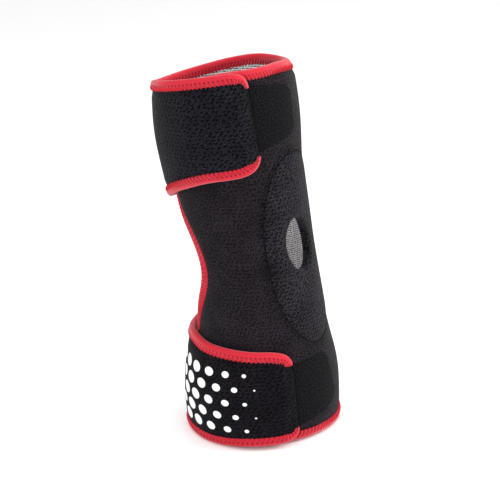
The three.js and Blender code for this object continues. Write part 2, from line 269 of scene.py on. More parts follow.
def slab(name, turn, height, inner, outer, finish, keep=None):
    """A thick sheet from a grid of pattern points, with a wall round every open edge."""
    rows, columns = turn.shape
    index = np.arange(rows * columns).reshape(rows, columns)
    quads = np.stack([index[:-1, :-1], index[:-1, 1:], index[1:, 1:], index[1:, :-1]], -1)
    quads = quads.reshape(-1, 4) if keep is None else quads[keep]
    used, renamed = np.unique(quads, return_inverse=True)
    quads = renamed.reshape(quads.shape)
    edges = {(int(q[k]), int(q[(k + 1) % 4])) for q in quads for k in range(4)}
    rim = [(a, b) for a, b in edges if (b, a) not in edges]
    count = len(used)
    faces = quads.tolist() + (quads[:, ::-1] + count).tolist()
    faces += [(b, a, a + count, b + count) for a, b in sorted(rim)]
    outside = wrap(turn, height, outer).reshape(-1, 3)[used]
    inside = wrap(turn, height, inner).reshape(-1, 3)[used]
    uv = np.stack([turn * MM_PER_DEGREE, height], -1).reshape(-1, 2)[used]
    return add_piece(name, np.vstack([outside, inside]), faces, np.vstack([uv, uv]), finish)


def distance_to(lines, turn, height):
    """Flat distance from each pattern point to the nearest point of some lines."""
    marks = np.vstack(lines)
    tree = kdtree.KDTree(len(marks))
    for number, (x, y) in enumerate(marks):
        tree.insert((x, y, 0), number)
    tree.balance()
    flat = zip((turn * MM_PER_DEGREE).ravel(), np.broadcast_to(height, turn.shape).ravel())
    return np.array([tree.find((x, y, 0))[2] for x, y in flat]).reshape(turn.shape)


# %% [markdown]
# ## Writing finishes as formulas
# A finish is a small network of shader nodes. Linking nodes one by one hides the idea, so a
# Wire stands for one output, and adding or multiplying Wires adds the Math nodes. Every
# other kind of node comes from one method of the Finish that owns the network.

# %% Finish and Wire
class Wire:
    """One value output of a finish that takes part in Python expressions."""

    def __init__(self, finish, socket):
        self.finish = finish
        self.socket = socket

    def math(self, operation, *others):
        values = dict(enumerate((self, *others)))
        return self.finish.node("ShaderNodeMath", {"operation": operation}, values)

    def __add__(self, other):
        return self.math("ADD", other)

    def __mul__(self, other):
        return self.math("MULTIPLY", other)

    def __sub__(self, other):
        return self.math("SUBTRACT", other)

    def __rsub__(self, other):
        return self.finish.node("ShaderNodeMath", {"operation": "SUBTRACT"}, {0: other, 1: self})

    def __truediv__(self, other):
        return self.math("DIVIDE", other)

    __radd__ = __add__
    __rmul__ = __mul__

    def ease(self, low, high):
        """A smooth step from 0 at low to 1 at high; low may be the larger one."""
        values = {"Value": self, "From Min": low, "From Max": high}
        return self.finish.node("ShaderNodeMapRange", {"interpolation_type": "SMOOTHSTEP"}, values)


class Finish:
    """A material whose nodes are added by one method."""

    def __init__(self, name, **constants):
        self.material = bpy.data.materials.new(name)
        self.material.use_nodes = True
        self.tree = self.material.node_tree
        self.shader = self.tree.nodes["Principled BSDF"]
        for socket, value in constants.items():
            self.shader.inputs[socket.replace("_", " ")].default_value = value

    def put(self, socket, value):
        if isinstance(value, Wire):
            self.tree.links.new(value.socket, socket)
        else:
            socket.default_value = value

    def node(self, kind, settings, values, output=0):
        """Add a node: its type, its settings, and the values or wires of its sockets."""
        made = self.tree.nodes.new(kind)
        for key, value in settings.items():
            setattr(made, key, value)
        for key, value in values.items():
            self.put(made.inputs[key], value)
        return Wire(self, made.outputs[output])

    def pattern(self):
        """Wires for the pattern's own millimetres: the vector, along and up."""
        vector = self.node("ShaderNodeUVMap", {"uv_map": "pattern"}, {})
        along = self.node("ShaderNodeSeparateXYZ", {}, {0: vector})
        up = self.node("ShaderNodeSeparateXYZ", {}, {0: vector}, 1)
        return vector, along, up

    def noise(self, vector, scale, detail=2.0):
        values = {"Vector": vector, "Scale": scale, "Detail": detail}
        return self.node("ShaderNodeTexNoise", {"noise_dimensions": "2D"}, values)

    def blend(self, share, first, second):
        """A colour between two, each a plain colour or a wire."""
        values = {0: share, 6: first, 7: second}
        return self.node("ShaderNodeMix", {"data_type": "RGBA"}, values, 2)

    def finish(self, colour, roughness, height, depth):
        """Feed the shader: colour, roughness, and a bump whose full height is depth metres."""
        bump = self.node("ShaderNodeBump", {}, {"Height": height, "Distance": depth})
        self.put(self.shader.inputs["Base Color"], colour)
        self.put(self.shader.inputs["Roughness"], roughness)
        self.put(self.shader.inputs["Normal"], bump)
        return self.material


# %% [markdown]
# ## Loop cloth
# The outside is a brushed loop knit that the hook tabs grip. It is black with a grey fuzz,
# and dimpled in staggered rows where the knit is tied to the foam. The dimples are the cells
# of a slanted Voronoi pattern, bumped down and painted dark as the shade in them; a fine
# noise stands for the loops between them, and a weak sheen gives the pale edge that brushed
# cloth has where it turns away. The panel, the patch and the flaps are one knit in different
# tints: the flaps' are bluer and darker, the darkness partly a painted shade on the flaps,
# and the patch's is lighter.

# %% Loop cloth finish
DIMPLE_PITCH = 3.9  # along a row, mm
DIMPLE_ROW = 3.1  # from row to row, mm
CLOTH_DARK = (0.0010, 0.0009, 0.0011, 1)
CLOTH_MID = (0.0100, 0.0083, 0.0106, 1)
CLOTH_PALE = (0.036, 0.032, 0.038, 1)
# Tints of the one knit: the flaps' are bluer and darker, the darkness partly a painted shade on the flaps;
# the patch's is lighter
PANEL_TINT = (0.73, 0.68, 0.71, 1)
PATCH_TINT = (0.94, 0.93, 0.98, 1)
UPPER_TINT_AND_SHADE = (0.51, 0.55, 0.63, 1)
LOWER_TINT_AND_SHADE = (0.37, 0.36, 0.42, 1)


def loop_knit(cloth, tint, dimple):
    """Colour and height wires of the knit, with dimples of a given strength."""
    vector, along, up = cloth.pattern()
    row = up / DIMPLE_ROW
    place = cloth.node("ShaderNodeCombineXYZ", {}, {0: along / DIMPLE_PITCH + row * 0.5, 1: row})
    cell = {"Vector": place, "Scale": 1.0, "Randomness": 0.5}
    away = cloth.node("ShaderNodeTexVoronoi", {"voronoi_dimensions": "2D"}, cell)
    uneven = cloth.noise(vector, 0.3)
    # The dimples are painted dark, as the shade that falls in them, as well as bumped down
    ground = 1 - away.ease(0.36, 0.12) * uneven.ease(0.2, 0.5) * dimple
    loops = cloth.noise(vector, 1.0, 4.0)
    worn = cloth.noise(vector, 0.045)
    lit = (0.05 + 0.95 * ground) * (0.35 + 0.75 * loops.ease(0.28, 0.72)) * (0.7 + 0.6 * worn)
    dark, middle, pale = (tuple(np.multiply(tone, tint)) for tone in (CLOTH_DARK, CLOTH_MID, CLOTH_PALE))
    colour = cloth.blend(lit.ease(0.0, 0.7), dark, middle)
    colour = cloth.blend(lit.ease(0.5, 1.1), colour, pale)
    return colour, ground * 0.6 + loops * 0.6


def loop_cloth(name, tint, dimple, sewn=""):
    """The knit, with a painted shade in the sewn channel that the piece's own attribute marks."""
    cloth = Finish(name, Sheen_Weight=0.07, Sheen_Roughness=0.4, Specular_IOR_Level=0.04)
    colour, height = loop_knit(cloth, tint, dimple)
    if sewn:
        channel = cloth.node("ShaderNodeAttribute", {"attribute_name": sewn}, {}, "Fac")
        # Painted shade in the sewn channel: the knit is darkened toward CLOTH_DARK there
        colour = cloth.blend(channel * 0.8, colour, CLOTH_DARK)
    return cloth.finish(colour, 0.95, height, 0.0007)


LOOP_CLOTH = loop_cloth("loop_cloth", PANEL_TINT, 0.45)
PATCH_CLOTH = loop_cloth("patch_cloth", PATCH_TINT, 0.9, "sewn")
FLAP_CLOTH = loop_cloth("flap_cloth", UPPER_TINT_AND_SHADE, 1.0)

# %% [markdown]
# ## Printed cloth
# The lower flap carries a white print pressed onto the knit. A plain design of staggered
# dots is used, large at the side of the leg and small toward the front and back. Each dot is
# found from its own row and column, so its size is the same over the whole dot.

# %% Printed cloth finish
DOT_PITCH = 13.5
ROW_PITCH = 11.9
PRINT_FOOT = 11.5
PRINT_HEAD = PRINT_FOOT + 5 * ROW_PITCH
DOT_RADIUS = 5.3
PRINT_MIDDLE = -225.0
PRINT_REACH = 62.0
PRINT_WHITE = (0.83, 0.83, 0.84, 1)


def dot_print(cloth):
    """A wire that is 1 on the printed dots."""
    _, along, up = cloth.pattern()
    row = (up - PRINT_FOOT) / ROW_PITCH
    stagger = row.math("FLOOR").math("MODULO", 2.0) * 0.5
    column = along / DOT_PITCH + stagger
    across = (column.math("FRACT") - 0.5) * DOT_PITCH
    above = (row.math("FRACT") - 0.5) * ROW_PITCH
    away = (across * across + above * above).math("SQRT")
    middle = (column.math("FLOOR") + 0.5 - stagger) * DOT_PITCH
    side = ((middle - PRINT_MIDDLE) / PRINT_REACH).math("ABSOLUTE")
    radius = DOT_RADIUS * (1 - side).math("MAXIMUM", 0.0).math("POWER", 0.7)
    inside = (radius - away).ease(-0.12, 0.12)
    rows = up.math("GREATER_THAN", PRINT_FOOT) * up.math("LESS_THAN", PRINT_HEAD)
    return inside * rows


def printed_cloth(name):
    cloth = Finish(name, Sheen_Weight=0.05, Sheen_Roughness=0.4, Specular_IOR_Level=0.04)
    colour, height = loop_knit(cloth, LOWER_TINT_AND_SHADE, 0.75)
    dots = dot_print(cloth)
    colour = cloth.blend(dots * (0.9 + 0.1 * height), colour, PRINT_WHITE)
    return cloth.finish(colour, 0.95 - 0.4 * dots, height * (1 - 0.6 * dots) + 0.5 * dots, 0.0005)


PRINTED_CLOTH = printed_cloth("printed_loop_cloth")

# %% [markdown]
# ## Lining, hook tape, binding and thread
# The lining is a pale grey knit with ribs that run round the leg; its grain varies the grey,
# and the valleys between the ribs are painted dark as the shade in them. The hook tape is a
# flat black plastic cloth with rows of tiny hooks. The binding is a bright red twill, pricked
# by a row of needle holes; the holes and the valleys between its stitches are painted dark as
# the shade in them. A thread is twisted, so thin slanting lines run across it.

# %% Lining finish
RIB_PITCH = 1.8
WALE_PITCH = 3.4
LINING_DARK = (0.04, 0.04, 0.041, 1)
LINING_PALE = (0.95, 0.95, 0.955, 1)


def ribbed_lining(name):
    knit = Finish(name, Sheen_Weight=0.1, Sheen_Roughness=0.5, Specular_IOR_Level=0.1)
    vector, along, up = knit.pattern()
    wave = (along / WALE_PITCH).math("PINGPONG", 0.5) * 0.15
    rib = ((up + wave) * (2 * math.pi / RIB_PITCH)).math("SINE") * 0.5 + 0.5
    grain = knit.noise(vector, 0.7, 3.0)
    height = rib * 0.55 + grain.ease(0.32, 0.68) * 0.45
    # Painted shade: the valleys between the ribs are dark in colour, with the grain's own grey mixed in
    colour = knit.blend(height.ease(0.15, 0.7), LINING_DARK, LINING_PALE)
    return knit.finish(colour, 0.9 - 0.1 * rib, height, 0.0007)


RIBBED_LINING = ribbed_lining("ribbed_lining")

# %% Hook tape finish
HOOK_PITCH = 1.15
HOOK_DARK = (0.0004, 0.0004, 0.0005, 1)
HOOK_PALE = (0.0134, 0.0131, 0.0152, 1)


def hook_tape(name):
    tape = Finish(name, Sheen_Weight=0.02, Sheen_Roughness=0.5, Specular_IOR_Level=0.03)
    vector, along, up = tape.pattern()
    turn = 2 * math.pi / HOOK_PITCH
    rows = (along * turn).math("SINE") * (up * turn).math("SINE")
    grain = tape.noise(vector, 0.8, 3.0)
    lit = rows * 0.25 + grain
    colour = tape.blend(lit.ease(0.35, 0.8), HOOK_DARK, HOOK_PALE)
    return tape.finish(colour, 0.8 - 0.15 * grain, lit, 0.0004)


HOOK_TAPE = hook_tape("hook_tape")

# %% Binding finish
STITCH_PITCH = 3.2  # along the tape, from one stitch to the next, mm
STITCH_DEPTH = 4.1  # from the tape's edge to its row of needle holes
STITCH_SLANT = -0.6  # how far a stitch leans, in pitches
TAPE_ACROSS = 20.0  # the tape's full developed width
TWILL_PITCH = 0.9
TWILL_SLANT = 1.4
TAPE_DARK = (0.49, 0.013, 0.027, 1)
TAPE_PALE = (0.63, 0.030, 0.052, 1)
TAPE_VALLEY_SHADE = (0.32, 0.005, 0.012, 1)
TAPE_HOLE_SHADE = (0.13, 0.002, 0.006, 1)


def twill_binding(name):
    tape = Finish(name, Sheen_Weight=0.4, Sheen_Roughness=0.3, Specular_IOR_Level=0.15)
    vector, along, across = tape.pattern()
    inset = TAPE_ACROSS / 2 - (across - TAPE_ACROSS / 2).math("ABSOLUTE")
    phase = along / STITCH_PITCH - inset * (STITCH_SLANT / STITCH_DEPTH)
    step = (phase.math("FRACT") - 0.5) * STITCH_PITCH
    drop = inset - STITCH_DEPTH
    hole = (step * step + drop * drop).math("SQRT").ease(0.95, 0.3)
    valley = step.math("ABSOLUTE").ease(0.5, 0.1) * inset.ease(STITCH_DEPTH, STITCH_DEPTH - 1)
    twill = ((along + across * TWILL_SLANT) * (2 * math.pi / TWILL_PITCH)).math("SINE") * 0.5 + 0.5
    worn = tape.noise(vector, 0.08)
    colour = tape.blend(twill * 0.35 + worn * 0.4, TAPE_DARK, TAPE_PALE)
    # Painted shade in the valleys between the puffed teeth of the stitches
    colour = tape.blend(valley * 0.5, colour, TAPE_VALLEY_SHADE)
    # Painted shade in the needle holes
    colour = tape.blend(hole, colour, TAPE_HOLE_SHADE)
    return tape.finish(colour, 0.75 + 0.1 * twill, twill * 0.2 - 0.3 * hole - 0.3 * valley, 0.0006)


TWILL_BINDING = twill_binding("twill_binding")


# %% Thread finishes
def twisted_thread(name, colour, dark, gloss):
    thread = Finish(name, Sheen_Weight=gloss, Specular_IOR_Level=gloss)
    place = thread.node("ShaderNodeTexCoord", {}, {}, "Object")
    values = {"Vector": place, "Scale": 900.0, "Detail": 1.0}
    twist = thread.node("ShaderNodeTexNoise", {}, values)
    tone = thread.blend(twist.ease(0.35, 0.65), dark, colour)
    return thread.finish(tone, 0.6, twist, 0.0002)


RED_THREAD = twisted_thread("red_thread", (0.52, 0.016, 0.032, 1), (0.38, 0.008, 0.018, 1), 0.10)
BLACK_THREAD = twisted_thread("black_thread", (0.010, 0.009, 0.010, 1), (0.002, 0.002, 0.002, 1), 0.05)
GREY_THREAD = twisted_thread("grey_thread", (0.95, 0.95, 0.95, 1), (0.8, 0.8, 0.8, 1), 0.2)
print("finishes:", ", ".join(m.name for m in bpy.data.materials if m.users == 0))

# %% [markdown]
# ## The panel and its lining
# The panel wraps the knee and carries everything else. Where tape is sewn on, its foam is
# squeezed thin, and it swells back a few millimetres further in. The kneecap hole is punched
# by leaving out the grid's cells inside the oval and drawing the ragged edge onto the oval.

# %% Panel grid and hole
# Turn, height, half width, half height and lean in radians
PAD_OVAL = (0.0, 158.3, 38.0, 81.5, 0.0)
HOLE_OVAL = (3.2, 162.3, 14.3, 21.9, math.radians(-4))
HOLE_EASE = 1.6
SQUEEZE = 0.9  # how much thinner the foam is under the tape
SQUEEZE_FULL = 6.5  # from the edge to where the foam begins to swell back, mm
SQUEEZE_END = 13.0  # and to where it is at its full thickness
FLAT_PER_MM = MM_PER_DEGREE / math.radians(KNEE_RADIUS + SURFACE)


def squeezed(distance):
    return SQUEEZE * (1 - ease(distance, SQUEEZE_FULL, SQUEEZE_END))


def punch(turn, height, oval, spare):
    """Pull the cells round an oval onto it; gives the new grid and which cells to keep."""
    centre_x = oval[0] * MM_PER_DEGREE
    half_x = (oval[2] + spare) * FLAT_PER_MM
    half_y = oval[3] + spare
    aside = turn * MM_PER_DEGREE - centre_x
    above = height - oval[1]
    cos, sin = math.cos(oval[4]), math.sin(oval[4])
    x = (aside * cos + above * sin) / half_x
    y = (above * cos - aside * sin) / half_y
    middle_x = (x[:-1, :-1] + x[1:, 1:]) / 2
    middle_y = (y[:-1, :-1] + y[1:, 1:]) / 2
    keep = middle_x**2 + middle_y**2 > 1
    cut = np.pad(~keep, 1)
    held = np.pad(keep, 1)
    near_cut = cut[:-1, :-1] | cut[1:, :-1] | cut[:-1, 1:] | cut[1:, 1:]
    near_kept = held[:-1, :-1] | held[1:, :-1] | held[:-1, 1:] | held[1:, 1:]
    edge = near_cut & near_kept
    reach = np.where(edge, np.hypot(x, y), 1)
    x, y = x / reach * half_x, y / reach * half_y
    turn = np.where(edge, (x * cos - y * sin + centre_x) / MM_PER_DEGREE, turn)
    height = np.where(edge, x * sin + y * cos + oval[1], height)
    return turn, height, keep


def panel_lines():
    """The panel's taped edges, in flat millimetres."""
    turns = np.linspace(NEAR_TURN, SEAM_TURN, 280)
    heights = np.linspace(EDGE_LOW, EDGE_HIGH, 300)
    waist = np.linspace(WAIST_LOW, WAIST_HIGH, 70)
    near = np.stack(panel_point(heights, 0.0), -1)
    rim = np.stack([turns, rim_height(turns)], -1)
    foot = np.stack([turns, foot_height(turns)], -1)
    far = np.stack([far_turn(waist), waist], -1)
    return [line * (MM_PER_DEGREE, 1) for line in (near, rim, foot, far)]


def panel_grid(columns, rows):
    share, height = np.meshgrid(np.linspace(0, 1, columns), np.linspace(EDGE_LOW, EDGE_HIGH, rows))
    return punch(*panel_point(height, share), HOLE_OVAL, HOLE_EASE)


# %% Panel and lining
turn, height, keep = panel_grid(128, 146)
panel_outer = CLOTH_THICK - squeezed(distance_to(panel_lines(), turn, height))
panel = slab("panel_cloth", turn, height, FOAM_BASE, panel_outer, LOOP_CLOTH, keep)
turn, height, keep = panel_grid(96, 110)
panel_lining = slab("panel_lining_knit", turn, height, 0.0, LINING_THICK, RIBBED_LINING, keep)
print("panel:", len(panel.data.polygons), "faces; lining:", len(panel_lining.data.polygons))

# %% [markdown]
# ## The flaps
# Each flap leaves the panel's far edge, climbs outward as it comes round the back, and lies
# over the panel on the near side. Its free end is pressed thin where the hook tab is sewn
# under it, so the last few millimetres sink toward the tab and lose half their thickness.

# %% Flaps
END_REACH = 9.0  # mm of the flap that are pressed toward the tab
END_SINK = 1.3  # how far the free end sinks toward the tab, mm
END_THIN = 1.7  # how much thinner it is pressed, mm
LINING_SHORT = 3.0  # degrees by which the lining stops short of the flap's end
FLAP_STEPS = (92, 14)  # points along a flap's edge and round its corner
LINING_STEPS = (60, 8)


def flap_end(top, low, turn, height):
    """How strongly each point is pressed: 0 on the flap, 1 at its free end."""
    (top_turn, top_height), (low_turn, low_height) = top[-1], low[-1]
    share = np.clip((height - low_height) / (top_height - low_height), 0, 1)
    end = low_turn + share * (top_turn - low_turn)
    return 1 - ease((turn - end) * MM_PER_DEGREE, 0, END_REACH)


def flap_grid(top, low, rows, straight, bend):
    """Pattern points of a flap: straight rows from its lower edge to its upper one."""
    low_line = cut_edge(low, straight, bend)
    top_line = cut_edge(top, straight, bend)
    share = np.linspace(0, 1, rows)[:, None, None]
    flat = low_line * (1 - share) + top_line * share
    return flat[..., 0] / MM_PER_DEGREE, flat[..., 1], [low_line, top_line]


def shortened(rows):
    """A flap's edge for the lining, whose corner comes a little earlier."""
    return [*rows[:-2], *((turn + LINING_SHORT, height) for turn, height in rows[-2:])]


def make_flap(name, top, low, rows, finish):
    """The flap's cloth and its lining."""
    turn, height, lines = flap_grid(top, low, rows, *FLAP_STEPS)
    pressed = flap_end(top, low, turn, height)
    sunk = rise(turn) - END_SINK * pressed
    thin = np.maximum(squeezed(distance_to(lines, turn, height)), END_THIN * pressed)
    cloth = slab(name + "_cloth", turn, height, sunk + FOAM_BASE, sunk + CLOTH_THICK - thin, finish)
    turn, height, _ = flap_grid(shortened(top), shortened(low), rows // 2, *LINING_STEPS)
    sunk = rise(turn) - END_SINK * flap_end(top, low, turn, height)
    knit = slab(name + "_lining_knit", turn, height, sunk, sunk + LINING_THICK, RIBBED_LINING)
    print(name, len(cloth.data.polygons), "faces; lining", len(knit.data.polygons))
    return cloth, knit


upper_flap, upper_flap_lining = make_flap("upper_flap", UPPER_TOP, UPPER_LOW, 56, FLAP_CLOTH)
lower_flap, lower_flap_lining = make_flap("lower_flap", LOWER_TOP, LOWER_LOW, 52, PRINTED_CLOTH)

# %% [markdown]
# ## The kneecap patch
# A padded oval is sewn round the kneecap hole. It is held down at the hole, along a sewn
# channel near its outline, and at its edge, and swells between them. Blender's cloth solver
# makes that swell: a closed mesh is blown up from inside, with the sewn rows pinned.

# %% Patch shape
PATCH_STEPS = 168
LIP_REACH = 4.0  # the lip's width round the hole, mm
BORDER_REACH = 4.0  # from the field, over the sewn channel, to the outline, mm
CHANNEL = 5.9  # the sewn channel's place in the border
CHANNEL_WIDTH = 1.3
# Each row is a share of the way across, millimetres added to that, and its lift
LIP_ROWS = [(0, 0.3, -4.4), (0, 0.0, -2.8), (0, -0.1, -1.0), (0, 0.05, 0.5), (0, 0.5, 1.6),
            (0, 1.3, 2.4), (0, 2.5, 2.8), (0, 4.0, 2.9)]
FIELD_ROWS = [(share, 4.0, 2.95 - 1.7 * share**2) for share in np.linspace(0.1, 1, 10)]
BORDER_ROWS = [(1, 4.6, 0.75), (1, 5.2, 0.35), (1, 5.9, 0.12), (1, 6.5, 0.35), (1, 7.1, 0.6),
               (1, 7.6, 0.5), (1, 8.0, 0.12)]
PATCH_ROWS = np.array(LIP_ROWS + FIELD_ROWS + BORDER_ROWS)
LIP_BACK = 0.85  # thickness of the cloth that is turned into the hole


def oval_point(oval, angle):
    """Flat millimetres on an oval, at an angle from straight across."""
    turn, height, half_width, half_height, lean = oval
    across = half_width * FLAT_PER_MM * np.cos(angle)
    up = half_height * np.sin(angle)
    x = turn * MM_PER_DEGREE + across * math.cos(lean) - up * math.sin(lean)
    return np.stack([x, height + across * math.sin(lean) + up * math.cos(lean)], -1)


def patch_flat(angle, share, extra):
    """A flat point of the patch, between the hole and the outline, at each angle."""
    rim = oval_point(HOLE_OVAL, angle)
    across = oval_point(PAD_OVAL, angle) - rim
    length = np.linalg.norm(across, axis=1, keepdims=True)
    reach = extra + share * (length - LIP_REACH - BORDER_REACH)
    return rim + across / length * reach


def ring(rows, columns):
    """Quads of rows that close on themselves, each row a closed loop."""
    i, k = np.meshgrid(np.arange(rows), np.arange(columns), indexing="ij")
    after = (k + 1) % columns
    below = (i + 1) % rows
    return np.stack([i * columns + k, i * columns + after, below * columns + after,
                     below * columns + k], -1).reshape(-1, 4)


def make_patch():
    angle = np.linspace(0, 2 * math.pi, PATCH_STEPS, endpoint=False)
    under = PATCH_ROWS.copy()
    under[:, 1] += LIP_BACK * (1 - ease(under[:, 0] * 60 + under[:, 1], 1.0, 3.5))
    under[:, 2] = np.minimum(under[:, 2], 0)
    rows = np.vstack([PATCH_ROWS, under[::-1]])
    flat = np.stack([patch_flat(angle, share, extra) for share, extra, _ in rows])
    points = wrap(flat[..., 0] / MM_PER_DEGREE, flat[..., 1], SURFACE + rows[:, 2:3])
    faces = ring(len(rows), PATCH_STEPS).tolist()
    lip = np.array(LIP_ROWS)[:, 1:]
    walk = np.r_[0, np.cumsum(np.linalg.norm(np.diff(lip, axis=0), axis=1))]
    rows[:len(lip), 1] = walk - walk[-1] + LIP_REACH
    uv = np.stack([patch_flat(angle, share, extra) for share, extra, _ in rows]).reshape(-1, 2)
    piece = add_piece("kneecap_patch", points.reshape(-1, 3), faces, uv, PATCH_CLOTH)
    # Where the channel's painted shade lies, strongest along the middle of the sewn channel
    sewn = rows[:, 0] * np.exp(-(((rows[:, 1] - CHANNEL) / CHANNEL_WIDTH) ** 2))
    attribute = piece.data.attributes.new("sewn", "FLOAT", "POINT")
    attribute.data.foreach_set("value", np.repeat(sewn, PATCH_STEPS).astype(np.float32))
    first = len(LIP_ROWS) * PATCH_STEPS
    return piece, np.arange(first, first + (len(FIELD_ROWS) - 1) * PATCH_STEPS)


patch, patch_free = make_patch()
print("patch:", len(patch.data.polygons), "faces,", len(patch_free), "points free to swell")

# %% Swelling the patch
SWELL_CAP = 0.9 * MM
SWELL_FRAMES = 20
SWELL_PRESSURE = 240.0


def coordinates(mesh):
    found = np.empty(3 * len(mesh.vertices), np.float32)
    mesh.vertices.foreach_get("co", found)
    return found.reshape(-1, 3)


def swell(piece, free, pressure):
    """Blow a closed piece up from inside; all but the free points stay sewn down."""
    start = coordinates(piece.data)
    sewn = piece.vertex_groups.new(name="sewn")
    sewn.add(sorted(set(range(len(start))) - set(free.tolist())), 1.0, "REPLACE")
    cloth = piece.modifiers.new("Swell", "CLOTH")
    cloth.settings.vertex_group_mass = "sewn"
    cloth.settings.quality = 6
    cloth.settings.mass = 0.2
    cloth.settings.tension_stiffness = 8
    cloth.settings.compression_stiffness = 8
    cloth.settings.use_pressure = True
    cloth.settings.uniform_pressure_force = pressure
    cloth.settings.effector_weights.gravity = 0
    cloth.collision_settings.use_collision = False
    for number in range(1, SWELL_FRAMES + 1):
        bpy.context.scene.frame_set(number)
    solved = piece.evaluated_get(bpy.context.evaluated_depsgraph_get()).to_mesh()
    moved = coordinates(solved) - start
    piece.modifiers.remove(cloth)
    piece.vertex_groups.remove(sewn)
    bpy.context.scene.frame_set(1)
    length = np.linalg.norm(moved, axis=1, keepdims=True)
    moved *= np.minimum(1, SWELL_CAP / np.maximum(length, 1e-9))
    piece.data.vertices.foreach_set("co", (start + moved).ravel())
    piece.data.update()
    print(f"swell: {length.max() / MM:.2f} mm at most, capped at {SWELL_CAP / MM:.2f}")


swell(patch, patch_free, SWELL_PRESSURE)

# %% [markdown]
# ## The hook tabs
# Thin tabs of hook tape are sewn under the flaps' ends and press onto the loop cloth. Hook
# tape is cut with heat, which leaves a rounded, slightly sunken border, so the outer face is
# lowered close to the outline and again along a narrow line inside it.

# %% Hook tabs
TAB_ROWS = 42
TAB_STEPS = (40, 10)  # points along a tab's edge and round its corner
TAB_EDGE_DROP = 0.55
TAB_EDGE_REACH = 1.3
TAB_LINE_DROP = 0.2
TAB_LINE_PLACE = 3.2
TAB_LINE_WIDTH = 0.7


def make_tab(name, top, low):
    turn, height, lines = flap_grid(top, low, TAB_ROWS, *TAB_STEPS)
    end = np.linspace(lines[0][-1], lines[1][-1], 60)
    away = distance_to([*lines, end], turn, height)
    lowered = TAB_EDGE_DROP * (1 - ease(away, 0.0, TAB_EDGE_REACH))
    lowered = lowered + TAB_LINE_DROP * np.exp(-(((away - TAB_LINE_PLACE) / TAB_LINE_WIDTH) ** 2))
    outer = SURFACE + TAB_THICK - lowered
    return slab(name, turn, height, SURFACE, outer, HOOK_TAPE)


upper_tab = make_tab("upper_hook_tape", UPPER_TAB_TOP, UPPER_TAB_LOW)
lower_tab = make_tab("lower_hook_tape", LOWER_TAB_TOP, LOWER_TAB_LOW)
print("hook tabs:", len(upper_tab.data.polygons) + len(lower_tab.data.polygons), "faces")

# %% [markdown]
# ## The binding
# A strip of twill is folded over every cut edge. Its section is a plump U that is drawn down
# at the two sewn edges, and every slanted stitch pulls a small notch into the edge. A curve
# with a bevel would do for a plain strip, but the notches and the tapering ends need each
# section to be placed by itself along the path.

# %% Binding paths
def tape_paths():
    """Each taped edge in flat millimetres, the cloth's side, how broad, and its two ends' share."""
    turns = np.linspace(NEAR_TURN, SEAM_TURN, 300)
    rim = np.stack([turns, rim_height(turns)], -1) * (MM_PER_DEGREE, 1)
    foot = np.stack([turns, foot_height(turns)], -1) * (MM_PER_DEGREE, 1)
    heights = np.linspace(EDGE_LOW + NEAR_TAPE_CLEAR, EDGE_HIGH - NEAR_TAPE_CLEAR, 300)
    near = np.stack(panel_point(heights, 0.0), -1) * (MM_PER_DEGREE, 1)
    waist = np.linspace(WAIST_HIGH, WAIST_LOW, 80)[1:-1]
    far = np.stack([far_turn(waist), waist], -1) * (MM_PER_DEGREE, 1)
    upper_top, upper_low, lower_top, lower_low = (
        cut_edge(rows, 200, 20) for rows in (UPPER_TOP, UPPER_LOW, LOWER_TOP, LOWER_LOW))
    return {
        "top_binding": (np.vstack([rim, upper_top]), 1, 1.0, 1.0, 0.3),
        "bottom_binding": (np.vstack([foot, lower_low]), -1, 1.0, 1.0, 0.4),
        "near_binding": (near, 1, 1.35, 0.75, 0.75),
        "back_binding": (np.vstack([upper_low[::-1], far, lower_top]), 1, 1.0, 0.3, 0.85),
    }


TAPE_OUTSIDE = np.array([(6.4, 3.75), (5.9, 4.15), (5.3, 4.4), (4.6, 4.6), (3.9, 4.73), (3.1, 4.82),
                         (2.2, 4.85), (1.1, 4.7), (0.0, 4.3), (-0.85, 3.6), (-1.28, 2.6),
                         (-1.28, 1.4), (-0.85, 0.3), (0.0, -0.5), (1.1, -0.9), (2.2, -1.0),
                         (3.9, -1.0), (4.6, -0.95), (5.3, -0.85), (6.0, -0.7), (6.7, -0.5),
                         (7.3, -0.15)])
TAPE_INSIDE = np.array([(6.9, -0.12), (3.2, -0.3), (0.6, -0.3), (-0.45, 0.6), (-0.45, 2.9),
                        (0.6, 3.55), (3.2, 3.55), (6.0, 3.55)])
TAPER_REACH = 14.0


def tape_frames(path, side, step):
    """Evenly spaced points along a path, the way inward at each, and the length so far."""
    length = np.linalg.norm(np.diff(path, axis=0), axis=1).sum()
    line = evenly(path, int(length / step) + 1)
    along = np.gradient(line, axis=0)
    along /= np.linalg.norm(along, axis=1, keepdims=True)
    inward = np.stack([-along[:, 1], along[:, 0]], -1) * side
    return line, inward, np.linspace(0, length, len(line))


def taper(gone, broad, start, end):
    """The tape's width along its path, as a share of the section's own."""
    width = broad * (start + (1 - start) * ease(gone, 0, TAPER_REACH))
    return width * (end + (1 - end) * ease(gone[-1] - gone, 0, TAPER_REACH))


# %% Binding meshes
NOTCH = 0.35  # how far the stitches draw the tape's edge in and out, mm
TOOTH = 0.4  # how far the tape puffs up between stitches, mm
SECTION = np.vstack([TAPE_OUTSIDE, TAPE_INSIDE])
SECTION_ACROSS = np.r_[0, np.cumsum(np.linalg.norm(np.diff(SECTION, axis=0), axis=1))]
OUTER_ROWS = len(TAPE_OUTSIDE)


def end_sink(flat):
    """How far the tape sinks with a flap's pressed end."""
    turn, height = flat[:, 0] / MM_PER_DEGREE, flat[:, 1]
    upper = flap_end(UPPER_TOP, UPPER_LOW, turn, height)
    lower = flap_end(LOWER_TOP, LOWER_LOW, turn, height)
    return END_SINK * np.where(height > WAIST_HEIGHT, upper, lower)


